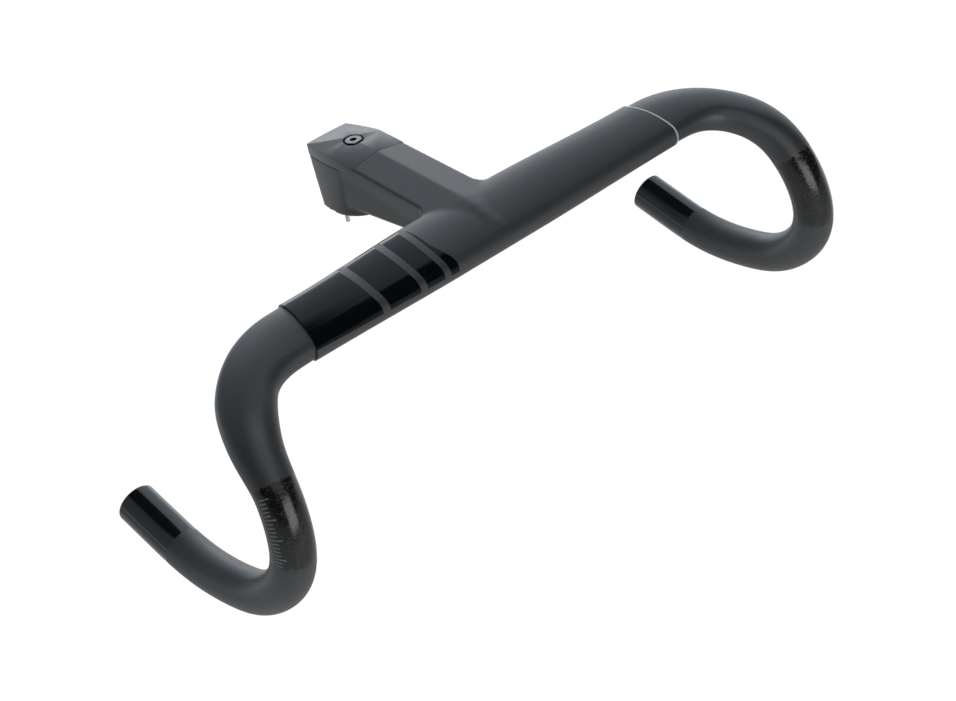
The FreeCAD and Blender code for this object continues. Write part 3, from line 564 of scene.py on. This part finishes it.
def drop_piece(name, hand):
    """One drop: flattened corner, round hook and open end, as a closed mesh."""
    line, places = centre_line()
    step_in = TAPE_STEP_DEPTH
    round_size = GRIP_RADIUS + TAPE_STEP_DEPTH
    across = Vector((0, 1, 0))
    rings = []
    tags = []
    for index, centre in enumerate(line):
        before = line[max(index - 1, 0)]
        after = line[min(index + 1, len(line) - 1)]
        tangent = (after - before).normalized()
        across = (across - tangent * across.dot(tangent)).normalized()
        upward = tangent.cross(across)
        length = places[index]
        past_step = (length - 2 * OVERLAP) / CORNER_RUN
        to_round = (length - 2 * OVERLAP - CORNER_RUN) / ROUND_RUN
        half_width = blend(blend(TAPE_HALF_CHORD, CORNER_HALF_WIDTH, past_step),
                           round_size, to_round) - step_in
        half_height = blend(blend(TAPE_HALF_THICK, CORNER_HALF_THICK, past_step),
                            round_size, to_round) - step_in
        tilt = TAPE_TILT * (1 - min(max(past_step, 0.0), 1.0))
        wide = across * math.cos(tilt) + upward * math.sin(tilt)
        high = upward * math.cos(tilt) - across * math.sin(tilt)
        rings.append((centre, wide, high, half_width, half_height))
        tags.append(length)
    end, wide, high, radius, _ = rings.pop()
    tags.pop()
    length = places[-1]
    inward = (line[-2] - line[-1]).normalized()
    steps = 4
    for step in range(steps + 1):
        angle = math.pi / 2 * step / steps
        sink = END_ROUNDING * (1 - math.sin(angle))
        size = radius - END_ROUNDING * (1 - math.cos(angle))
        rings.append((end + inward * sink, wide, high, size, size))
        tags.append(length - sink)
    bore = END_BORE_RADIUS
    for sink, size in ((0.0, bore + 0.3), (0.3, bore), (END_BORE_LENGTH, bore),
                       (END_BORE_LENGTH, GRIP_RADIUS - WALL),
                       (2 * END_BORE_LENGTH, GRIP_RADIUS - WALL)):
        rings.append((end + inward * sink, wide, high, size, size))
        tags.append(length - sink)
    sections = [ring(*place) for place in rings]
    if hand < 0:
        sections = [[Vector((-point.x, point.y, point.z)) for point in section]
                    for section in sections]
    drop = mesh_of_rings(name, sections)
    tag_drop(drop, tags, len(sections[0]))
    cut_port(drop, hand)
    finish_surface(drop, 40)
    return drop


def tag_drop(drop, tags, count):
    """Store for each point how far along the drop it lies and its place round the tube."""
    runs = [length * MM for length in tags for _ in range(count)]
    places = oval_outline(1.0, 1.0) * len(tags)
    for name, values in (("run", runs), ("round_cos", [side for side, _ in places]),
                         ("round_sin", [rise for _, rise in places])):
        attribute = drop.data.attributes.new(name, "FLOAT", "POINT")
        attribute.data.foreach_set("value", values)


def cut_port(drop, hand):
    """Slot for the cables through the underside of the corner."""
    before, seat, after = (Vector(point) for point in DROP_POINTS[1:4])
    arriving = seat - before
    leaving = after - seat
    way = arriving / arriving.length**2 + leaving / leaving.length**2
    angle = math.atan2(way.y, way.x)
    half = PORT_LENGTH / 2 - PORT_WIDTH / 2
    radius = PORT_WIDTH / 2
    outline = []
    for side in (1, -1):
        for step in range(13):
            turn = math.pi * (step / 12 - 0.5) + (0 if side > 0 else math.pi)
            outline.append((side * half + radius * math.cos(turn), radius * math.sin(turn)))
    rings = []
    for sink in (2 * CORNER_HALF_THICK, 2.0):
        places = []
        for x, y in outline:
            out = seat.x + x * math.cos(angle) - y * math.sin(angle)
            back = seat.y + x * math.sin(angle) + y * math.cos(angle)
            places.append(from_bar(hand * out, back, seat.z - sink))
        rings.append(places)
    combine(drop, "DIFFERENCE", [mesh_of_rings("Port", rings)])


def trim_above(item, planes):
    """Cut a convex mesh off above each plane, given by three points."""
    edit = bmesh.new()
    edit.from_mesh(item.data)
    for first, second, third in planes:
        normal = (second - first).cross(third - first).normalized()
        if normal.z < 0:
            normal.negate()
        parts = edit.verts[:] + edit.edges[:] + edit.faces[:]
        cut = bmesh.ops.bisect_plane(edit, geom=parts, plane_co=first * MM, plane_no=normal,
                                     clear_outer=True)
        rim = [part for part in cut["geom_cut"] if isinstance(part, bmesh.types.BMEdge)]
        bmesh.ops.contextual_create(edit, geom=rim)
    edit.to_mesh(item.data)
    edit.free()


def cap_piece():
    """Top cap: flat seat, straight seam in front, roof planes and sloping rear faces."""
    side = (STEM_HALF_WIDTH, -CAP_MID_BACK)
    rear = clamp_rear(side, (CAP_REAR_HALF_WIDTH, CAP_REAR), CAP_REAR + CAP_REAR_BOW)
    front = [(-side[0], side[1]), (-CAP_FRONT_HALF_WIDTH, -SEAM_FORWARD),
             (CAP_FRONT_HALF_WIDTH, -SEAM_FORWARD)]
    cap = prism("top_cap_skin", rear + front, SEAM_HEIGHT, RIDGE_HEIGHT + OVERLAP)
    apex = Vector((0, CAP_APEX_BACK, ridge_at(CAP_APEX_BACK)))
    nose = Vector((0, -SEAM_FORWARD, ridge_at(-SEAM_FORWARD)))
    left, right = (Vector((hand * CAP_REAR_HALF_WIDTH, CAP_REAR, CAP_REAR_HEIGHT))
                   for hand in (1, -1))
    planes = [(apex, left, right)]
    for hand, corner in ((1, left), (-1, right)):
        eave = Vector((hand * STEM_HALF_WIDTH, 0, ridge_at(0) - ROOF_FALL))
        planes += [(apex, nose, eave), (apex, eave, corner)]
    trim_above(cap, planes)
    up = Vector((0, 0, 1))
    combine(cap, "UNION", [cylinder("Boss", CAP_BOSS_RADIUS, up * (SEAM_HEIGHT - CAP_BOSS_DEPTH),
                                    up * (SEAM_HEIGHT + 1))])
    combine(cap, "DIFFERENCE", [
        cylinder("Recess", CAP_RECESS_RADIUS, up * (RIDGE_HEIGHT - CAP_RECESS_DEPTH), up * FAR),
        cylinder("Hole", CAP_HOLE_RADIUS, up, up * FAR),
    ])
    bevel = cap.modifiers.new("Bevel", "BEVEL")
    bevel.width = CAP_EDGE * MM
    bevel.segments = 3
    bevel.limit_method = "ANGLE"
    bevel.angle_limit = math.radians(20)
    apply_modifiers(cap)
    finish_surface(cap, 35)
    return cap


# Materials. A small set of helpers keeps each node tree short.

class Tree:
    """Node tree of a material or a world with the helpers that they share."""

    def __init__(self, owner):
        owner.use_nodes = True
        self.owner = owner
        self.nodes = owner.node_tree.nodes
        self.links = owner.node_tree.links
        self.shader = self.nodes.get("Principled BSDF") or self.nodes["Background"]

    def node(self, kind, **values):
        item = self.nodes.new("ShaderNode" + kind)
        for key, value in values.items():
            setattr(item, key, value)
        return item

    def feed(self, socket, value):
        if isinstance(value, bpy.types.NodeSocket):
            self.links.new(value, socket)
        else:
            socket.default_value = value

    def calc(self, operation, first, second=0.0, third=0.0):
        item = self.node("Math", operation=operation)
        for socket, value in zip(item.inputs, (first, second, third)):
            self.feed(socket, value)
        return item.outputs[0]

    def ramp(self, value, start, end, low=0.0, high=1.0):
        """Smooth step of value from low at start to high at end."""
        item = self.node("MapRange", interpolation_type="SMOOTHSTEP")
        for socket, number in zip(item.inputs, (value, start, end, low, high)):
            self.feed(socket, number)
        return item.outputs[0]

    def mix(self, share, first, second):
        item = self.node("Mix", data_type="RGBA")
        self.feed(item.inputs["Factor"], share)
        self.feed(item.inputs[6], first)
        self.feed(item.inputs[7], second)
        return item.outputs[2]

    def noise(self, place, scale, detail=2.0, roughness=0.5):
        item = self.node("TexNoise")
        self.feed(item.inputs["Vector"], place)
        item.inputs["Scale"].default_value = scale
        item.inputs["Detail"].default_value = detail
        item.inputs["Roughness"].default_value = roughness
        return item.outputs["Fac"]

    def place(self):
        return self.node("TexCoord").outputs["Object"]

    def bar_place(self):
        """Separate coordinates in the frame of the bar, in metres."""
        item = self.node("Mapping", vector_type="TEXTURE")
        self.feed(item.inputs["Vector"], self.place())
        item.inputs["Location"].default_value = (0, BAR_Y * MM, BAR_Z * MM)
        item.inputs["Rotation"].default_value = (STEM_ANGLE, 0, 0)
        parts = self.node("SeparateXYZ")
        self.links.new(item.outputs[0], parts.inputs[0])
        return parts.outputs[0], parts.outputs[1], parts.outputs[2]

    def bump(self, height, distance, strength=1.0, below=None):
        item = self.node("Bump")
        item.inputs["Strength"].default_value = strength
        item.inputs["Distance"].default_value = distance
        self.feed(item.inputs["Height"], height)
        if below is not None:
            self.links.new(below, item.inputs["Normal"])
        return item.outputs[0]


def material_tree(name):
    return Tree(bpy.data.materials.new(name))


def grey(level, tint=(0.94, 1.0, 1.08)):
    return (level * tint[0], level * tint[1], level * tint[2], 1.0)


MATTE = grey(0.030, (0.93, 1.0, 1.08))
MATTE_DARK = grey(0.023, (0.93, 1.0, 1.08))
GLOSS = (0.0020, 0.0026, 0.0036, 1.0)
WEAVE_DARK = (0.004, 0.004, 0.0036, 1.0)
WEAVE_LIGHT = (0.04, 0.04, 0.036, 1.0)
TICK = (0.20, 0.21, 0.20, 1.0)
# Painted highlight: pale line along the rider's left tape step, where the edge catches the backdrop.
STEP_HIGHLIGHT = (0.48, 0.50, 0.53, 1.0)
MATTE_ROUGH = 0.40
MATTE_SPECULAR = 0.75
CAP_ROUGH = 0.34
GLOSS_SPECULAR = 0.22


def matte_grain(tree):
    """Fine mottling of the lacquer over the fibres: share and bump."""
    place = tree.place()
    fine = tree.noise(place, 2200.0, 2.0, 0.6)
    broad = tree.noise(place, 60.0, 3.0, 0.5)
    return fine, broad


def matte_color(tree, fine, broad):
    share = tree.calc("ADD", tree.calc("MULTIPLY", fine, 0.5), tree.calc("MULTIPLY", broad, 0.5))
    return tree.mix(share, MATTE_DARK, MATTE)


# Inner and outer edge of each matte band, and the inner end of the gloss field, in metres
# from the centre plane.
BANDS = ((0.0875, 0.0925), (0.0605, 0.0652), (0.0432, 0.0476))
FIELD_END = 0.0412


def moulding_material():
    """Tops, stem and clamp: matte lacquer with one gloss field broken by three bands, and a painted
    highlight along the rider's left tape step.
    """
    tree = material_tree("Moulding")
    x, back, up = tree.bar_place()
    fine, broad = matte_grain(tree)
    side = tree.calc("MULTIPLY", x, -1.0)
    # The bands bow a little across the chord.
    bow = tree.calc("MINIMUM", tree.calc("MULTIPLY", tree.calc("POWER", tree.calc("ABSOLUTE",
                    tree.calc("ADD", back, 0.002)), 2.0), 4.5), 0.0018)
    straight = tree.calc("ADD", side, bow)
    edge = 0.00025
    bands = None
    for low, high in BANDS:
        band = tree.calc("MULTIPLY", tree.ramp(straight, low - edge, low + edge),
                         tree.ramp(straight, high + edge, high - edge))
        bands = band if bands is None else tree.calc("MAXIMUM", bands, band)
    inner = tree.ramp(back, 0.0, -0.020, FIELD_END, FIELD_END - 0.0055)
    inside = tree.ramp(side, tree.calc("SUBTRACT", inner, edge), tree.calc("ADD", inner, edge))
    lower = tree.calc("ADD", -0.0068, tree.calc("MULTIPLY", side, 0.045))
    above = tree.ramp(up, tree.calc("SUBTRACT", lower, 0.0003), tree.calc("ADD", lower, 0.0003))
    field = tree.calc("MULTIPLY", tree.calc("MULTIPLY", inside, above),
                      tree.calc("SUBTRACT", 1.0, bands))
    color = tree.mix(field, matte_color(tree, fine, broad), GLOSS)
    # Painted highlight: a light line 1.3 mm wide just inside the tape step on the rider's left.
    step = tree.calc("ADD", x, tree.calc("MULTIPLY", back, TAPE_SLANT))
    color = tree.mix(tree.calc("GREATER_THAN", step, (TAPE_OFFSET - 1.3) * MM), color, STEP_HIGHLIGHT)
    tree.feed(tree.shader.inputs["Base Color"], color)
    rough = tree.calc("ADD", MATTE_ROUGH, tree.calc("MULTIPLY", fine, 0.08))
    rough = tree.calc("ADD", tree.calc("MULTIPLY", rough, tree.calc("SUBTRACT", 1.0, field)),
                      tree.calc("MULTIPLY", field, 0.08))
    tree.feed(tree.shader.inputs["Roughness"], rough)
    tree.feed(tree.shader.inputs["Specular IOR Level"],
              tree.ramp(field, 0.0, 1.0, MATTE_SPECULAR, GLOSS_SPECULAR))
    height = tree.calc("ADD", tree.calc("MULTIPLY", fine, tree.calc("SUBTRACT", 1.0, field)),
                       tree.calc("MULTIPLY", field, 1.5))
    tree.feed(tree.shader.inputs["Normal"], tree.bump(height, 0.00002, 0.5))
    return tree.owner


def attribute(tree, name):
    return tree.node("Attribute", attribute_name=name).outputs["Fac"]


# Where the zones of the drop lie along its centre line, in metres from the inner end.
LEVER_START = 0.112
LEVER_END = 0.154
END_GLOSS = 0.043
TICK_PITCH = 0.0021
TICK_WIDTH = 0.0005
TICK_ROOT = math.radians(36)
TICK_TIP = math.radians(58)
LONG_TICK_TIP = math.radians(70)
TICKS_TO_LONG = 5


def drop_material(length):
    """Drops: matte lacquer, gloss lever seat with bare weave and a scale, gloss end."""
    tree = material_tree("Drop")
    run = attribute(tree, "run")
    turn = tree.calc("ARCTAN2", attribute(tree, "round_sin"), attribute(tree, "round_cos"))
    fine, broad = matte_grain(tree)
    edge = 0.0004
    frayed = tree.calc("ADD", run, tree.calc("MULTIPLY", tree.calc("SUBTRACT", tree.noise(
        tree.place(), 380.0, 3.0, 0.7), 0.5), 0.009))
    seat = tree.calc("MULTIPLY", tree.ramp(frayed, LEVER_START - 3 * edge, LEVER_START + 3 * edge),
                     tree.ramp(frayed, LEVER_END + 6 * edge, LEVER_END - 6 * edge))
    tip = tree.ramp(run, length - END_GLOSS - edge, length - END_GLOSS + edge)
    weave = twill(tree)
    color = tree.mix(seat, matte_color(tree, fine, broad),
                     tree.mix(weave, WEAVE_DARK, WEAVE_LIGHT))
    color = tree.mix(tip, color, GLOSS)
    color = tree.mix(scale_marks(tree, run, turn), color, TICK)
    tree.feed(tree.shader.inputs["Base Color"], color)
    matte_rough = tree.calc("ADD", MATTE_ROUGH, tree.calc("MULTIPLY", fine, 0.08))
    seat_rough = tree.calc("ADD", 0.18, tree.calc("MULTIPLY", weave, 0.2))
    rough = tree.ramp(seat, 0.0, 1.0, matte_rough, seat_rough)
    rough = tree.ramp(tip, 0.0, 1.0, rough, 0.10)
    tree.feed(tree.shader.inputs["Roughness"], rough)
    tree.feed(tree.shader.inputs["Specular IOR Level"], tree.ramp(seat, 0.0, 1.0, MATTE_SPECULAR, 0.5))
    height = tree.calc("ADD", tree.calc("MULTIPLY", fine, tree.calc("SUBTRACT", 1.0, seat)),
                       tree.calc("MULTIPLY", weave, tree.calc("MULTIPLY", seat, 2.0)))
    tree.feed(tree.shader.inputs["Normal"], tree.bump(height, 0.00003, 0.5))
    return tree.owner


def twill(tree):
    """Patchy carbon cloth: short bundles that catch the light at random."""
    place = tree.place()
    cells = tree.node("TexVoronoi", feature="F1")
    tree.feed(cells.inputs["Vector"], place)
    cells.inputs["Scale"].default_value = 1100.0
    parts = tree.node("SeparateColor")
    tree.links.new(cells.outputs["Color"], parts.inputs[0])
    coarse = tree.noise(place, 700.0, 3.0, 0.7)
    return tree.calc("MULTIPLY", tree.calc("POWER", parts.outputs[0], 2.0),
                     tree.ramp(coarse, 0.42, 0.66))


def scale_marks(tree, run, turn):
    """Fine light ticks of the lever scale along the outer side of the tube."""
    count = tree.calc("DIVIDE", tree.calc("SUBTRACT", run, LEVER_START + 0.005), TICK_PITCH)
    line = tree.calc("LESS_THAN", tree.calc("FRACT", count), TICK_WIDTH / TICK_PITCH)
    zone = tree.calc("MULTIPLY", tree.calc("GREATER_THAN", count, 0.0),
                     tree.calc("LESS_THAN", run, LEVER_END - 0.001))
    long = tree.calc("LESS_THAN", tree.calc("FRACT", tree.calc("DIVIDE", count, TICKS_TO_LONG)),
                     1 / TICKS_TO_LONG)
    tip = tree.calc("ADD", TICK_TIP, tree.calc("MULTIPLY", long, LONG_TICK_TIP - TICK_TIP))
    side = tree.calc("MULTIPLY", tree.calc("GREATER_THAN", turn, TICK_ROOT),
                     tree.calc("LESS_THAN", turn, tip))
    return tree.calc("MULTIPLY", tree.calc("MULTIPLY", line, zone), side)


def cap_material():
    tree = material_tree("Cap")
    fine, broad = matte_grain(tree)
    share = tree.calc("ADD", tree.calc("MULTIPLY", fine, 0.6), tree.calc("MULTIPLY", broad, 0.4))
    tree.feed(tree.shader.inputs["Base Color"], tree.mix(share, grey(0.036), grey(0.05)))
    tree.feed(tree.shader.inputs["Roughness"],
              tree.calc("ADD", CAP_ROUGH, tree.calc("MULTIPLY", fine, 0.1)))
    tree.shader.inputs["Specular IOR Level"].default_value = 0.8
    tree.feed(tree.shader.inputs["Normal"], tree.bump(fine, 0.00002, 0.5))
    return tree.owner


def metal_material(name, color, rough, grain, painted_shade_below=None):
    """Machined metal with fine turning marks; below a given height, painted shade makes the socket
    near black.
    """
    tree = material_tree(name)
    place = tree.place()
    fine = tree.noise(place, grain, 3.0, 0.6)
    light = tuple(min(part * 1.25, 1.0) for part in color[:3]) + (1.0,)
    shade = tree.mix(fine, color, light)
    # Painted shade: below the given height, which takes in the hex socket, the metal turns near black.
    if painted_shade_below is not None:
        parts = tree.node("SeparateXYZ")
        tree.links.new(place, parts.inputs[0])
        shade = tree.mix(tree.ramp(parts.outputs[2], painted_shade_below - 0.0001, painted_shade_below),
                         (0.01, 0.01, 0.01, 1.0), shade)
    tree.feed(tree.shader.inputs["Base Color"], shade)
    tree.feed(tree.shader.inputs["Roughness"],
              tree.calc("ADD", rough, tree.calc("MULTIPLY", fine, 0.12)))
    tree.shader.inputs["Metallic"].default_value = 1.0
    tree.feed(tree.shader.inputs["Normal"], tree.bump(fine, 0.00001, 0.4))
    return tree.owner


def dress(item, material):
    """Give an object one material in place of what it had."""
    item.data.materials.clear()
    item.data.materials.append(material)


def dress_hardware():
    head_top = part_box("cap_bolt")[1].z
    # The cap bolt gets painted shade in its socket, below its head top.
    steel = metal_material("BoltSteel", (0.13, 0.135, 0.14, 1), 0.30, 1500.0, head_top - 0.0003)
    black = metal_material("BlackSteel", (0.06, 0.06, 0.06, 1), 0.35, 1500.0)
    bright = metal_material("Washer", (0.5, 0.5, 0.5, 1), 0.3, 1200.0)
    insert = metal_material("Insert", (0.55, 0.55, 0.56, 1), 0.32, 1200.0)
    for name, item in NODES.items():
        if name == "cap_bolt":
            dress(item, steel)
        elif name.startswith("clamp_bolt"):
            dress(item, black)
        elif name.startswith(("clamp_washer", "locating_pin")):
            dress(item, bright)
        elif name.startswith(("clamp_insert", "mount_insert")):
            dress(item, insert)


def add_pieces():
    centre = centre_piece()
    dress(centre, moulding_material())
    length = centre_line()[1][-1] * MM
    drops = [drop_piece("drop_left", 1), drop_piece("drop_right", -1)]
    lacquer = drop_material(length)
    for drop in drops:
        dress(drop, lacquer)
    for item in [centre] + drops:
        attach(item, "root")
        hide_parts("bar_stem_shell")
    cap = cap_piece()
    dress(cap, cap_material())
    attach(cap, "root")
    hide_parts("top_cap")
    dress_hardware()


# Camera, fitted to the photograph's perspective.

CAMERA_PLACE = Vector((-654.3, -965.7, 583.6)) * MM
CAMERA_RIGHT = Vector((0.7289, -0.6638, -0.1680))
CAMERA_UP = Vector((0.4579, 0.2901, 0.8404))
CAMERA_BACK = Vector((-0.5091, -0.6894, 0.5154))
CAMERA_LENS = 82.5


def add_camera():
    data = bpy.data.cameras.new("Camera")
    data.lens = CAMERA_LENS
    data.sensor_width = 36.0
    data.clip_end = 50.0
    camera = bpy.data.objects.new("Camera", data)
    turn = Matrix((CAMERA_RIGHT, CAMERA_UP, CAMERA_BACK)).transposed().to_4x4()
    camera.matrix_world = Matrix.Translation(CAMERA_PLACE) @ turn
    bpy.context.scene.collection.objects.link(camera)
    bpy.context.scene.camera = camera


FLOOR_DEPTH = 0.5
FLOOR_HALF = 6.0


def add_floor():
    """Plain pale floor some way below the bar, so that its shadow is soft."""
    low = Vector(CAD_BOX[0]).z - FLOOR_DEPTH
    corners = [(x, y, low) for x, y in ((-FLOOR_HALF, -FLOOR_HALF), (FLOOR_HALF, -FLOOR_HALF),
                                        (FLOOR_HALF, FLOOR_HALF), (-FLOOR_HALF, FLOOR_HALF))]
    mesh = bpy.data.meshes.new("Floor")
    mesh.from_pydata(corners, [], [(0, 1, 2, 3)])
    floor = bpy.data.objects.new("Floor", mesh)
    bpy.context.scene.collection.objects.link(floor)
    tree = material_tree("Floor")
    tree.nodes.remove(tree.shader)
    diffuse = tree.node("BsdfDiffuse")
    speck = tree.noise(tree.place(), 3.0, 2.0)
    tree.feed(diffuse.inputs["Color"], tree.mix(speck, (0.84, 0.84, 0.84, 1), (0.88, 0.88, 0.88, 1)))
    glow = tree.node("Emission")
    glow.inputs["Strength"].default_value = 1.1
    parts = tree.node("SeparateXYZ")
    tree.links.new(tree.place(), parts.inputs[0])
    behind = tree.calc("ADD", tree.calc("MULTIPLY", parts.outputs[0], 0.6),
                       tree.calc("MULTIPLY", parts.outputs[1], 0.8))
    path = tree.node("LightPath")
    mirrored = tree.calc("MULTIPLY", path.outputs["Is Glossy Ray"],
                         tree.ramp(behind, 0.3, 1.2, 0.2, 0.9))
    mixer = tree.node("MixShader")
    tree.feed(mixer.inputs[0], tree.calc("MAXIMUM", mirrored, tree.calc(
        "MULTIPLY", path.outputs["Is Camera Ray"], 0.88)))
    tree.links.new(diffuse.outputs[0], mixer.inputs[1])
    tree.links.new(glow.outputs[0], mixer.inputs[2])
    tree.links.new(mixer.outputs[0], tree.nodes["Material Output"].inputs[0])
    floor.data.materials.append(tree.owner)


BRIGHT_SIDE = (0.766, 0.643, 0.0)


def add_world():
    """Pale backdrop: bright to the left behind the bar, a low horizon behind, dim elsewhere."""
    world = bpy.data.worlds.new("Studio")
    bpy.context.scene.world = world
    tree = Tree(world)
    way = tree.node("TexCoord").outputs["Generated"]
    parts = tree.node("SeparateXYZ")
    tree.links.new(way, parts.inputs[0])
    level_way = tree.node("VectorMath", operation="MULTIPLY")
    tree.links.new(way, level_way.inputs[0])
    level_way.inputs[1].default_value = (1, 1, 0)
    unit = tree.node("VectorMath", operation="NORMALIZE")
    tree.links.new(level_way.outputs[0], unit.inputs[0])
    facing = tree.node("VectorMath", operation="DOT_PRODUCT")
    tree.links.new(unit.outputs[0], facing.inputs[0])
    facing.inputs[1].default_value = BRIGHT_SIDE
    sector = tree.ramp(facing.outputs["Value"], 0.64, 0.78)
    below_top = tree.ramp(parts.outputs[2], 0.90, 0.83)
    backdrop = tree.calc("MULTIPLY", below_top, tree.calc("MAXIMUM",
                         tree.calc("MULTIPLY", sector, 0.9),
                         tree.ramp(parts.outputs[1], 0.1, 0.35, 0.0, 0.35)))
    horizon = tree.calc("MULTIPLY", tree.calc("ADD", 0.75, tree.calc("MULTIPLY", sector, 0.85)),
                        tree.calc("MULTIPLY", tree.ramp(parts.outputs[2], 0.16, 0.02),
                                  tree.ramp(parts.outputs[1], 0.15, 0.40)))
    level = tree.calc("MAXIMUM", tree.calc("MAXIMUM", backdrop, horizon), 0.04)
    seen = tree.node("LightPath").outputs["Is Camera Ray"]
    tree.feed(tree.shader.inputs["Strength"], tree.calc("MAXIMUM", level, seen))
    tree.feed(tree.shader.inputs["Color"], tree.mix(seen, (0.88, 1.0, 1.12, 1.0), (1, 1, 1, 1)))


def soft_light(name, toward, distance, size, radiance, mirrored=True):
    """Soft panel in a direction from the bar, facing it, with a given brightness."""
    target = Vector((0, -0.09, 0.0))
    data = bpy.data.lights.new(name, "AREA")
    data.shape = "RECTANGLE"
    data.size, data.size_y = size
    data.energy = radiance * math.pi * size[0] * size[1]
    lamp = bpy.data.objects.new(name, data)
    way = Vector(toward).normalized()
    lamp.location = target + way * distance
    lamp.rotation_euler = way.to_track_quat("Z", "Y").to_euler()
    lamp.visible_glossy = mirrored
    bpy.context.scene.collection.objects.link(lamp)
    return lamp


def way_at(azimuth, elevation):
    """Direction from the bar, in degrees from +X towards +Y and above the floor."""
    round_z, rise = math.radians(azimuth), math.radians(elevation)
    return Vector((math.cos(rise) * math.cos(round_z), math.cos(rise) * math.sin(round_z),
                   math.sin(rise)))


def add_lights():
    soft_light("BackPanel", way_at(54, 17), 2.4, (1.25, 0.62), 2.5)
    soft_light("KeyPanel", way_at(-108, 42), 2.6, (2.3, 2.1), 0.7)
    soft_light("TopPanel", way_at(-110, 74), 2.2, (1.1, 1.1), 1.4)
    soft_light("FrontStrip", way_at(-95, 0), 1.6, (1.15, 0.62), 3.4)
    soft_light("TopFill", (0.1, 0.2, 1.0), 2.2, (1.4, 1.0), 2.0, mirrored=False)


def set_view():
    bpy.context.scene.view_settings.view_transform = "Standard"


add_camera()
add_floor()
add_world()
add_lights()
set_view()
add_pieces()
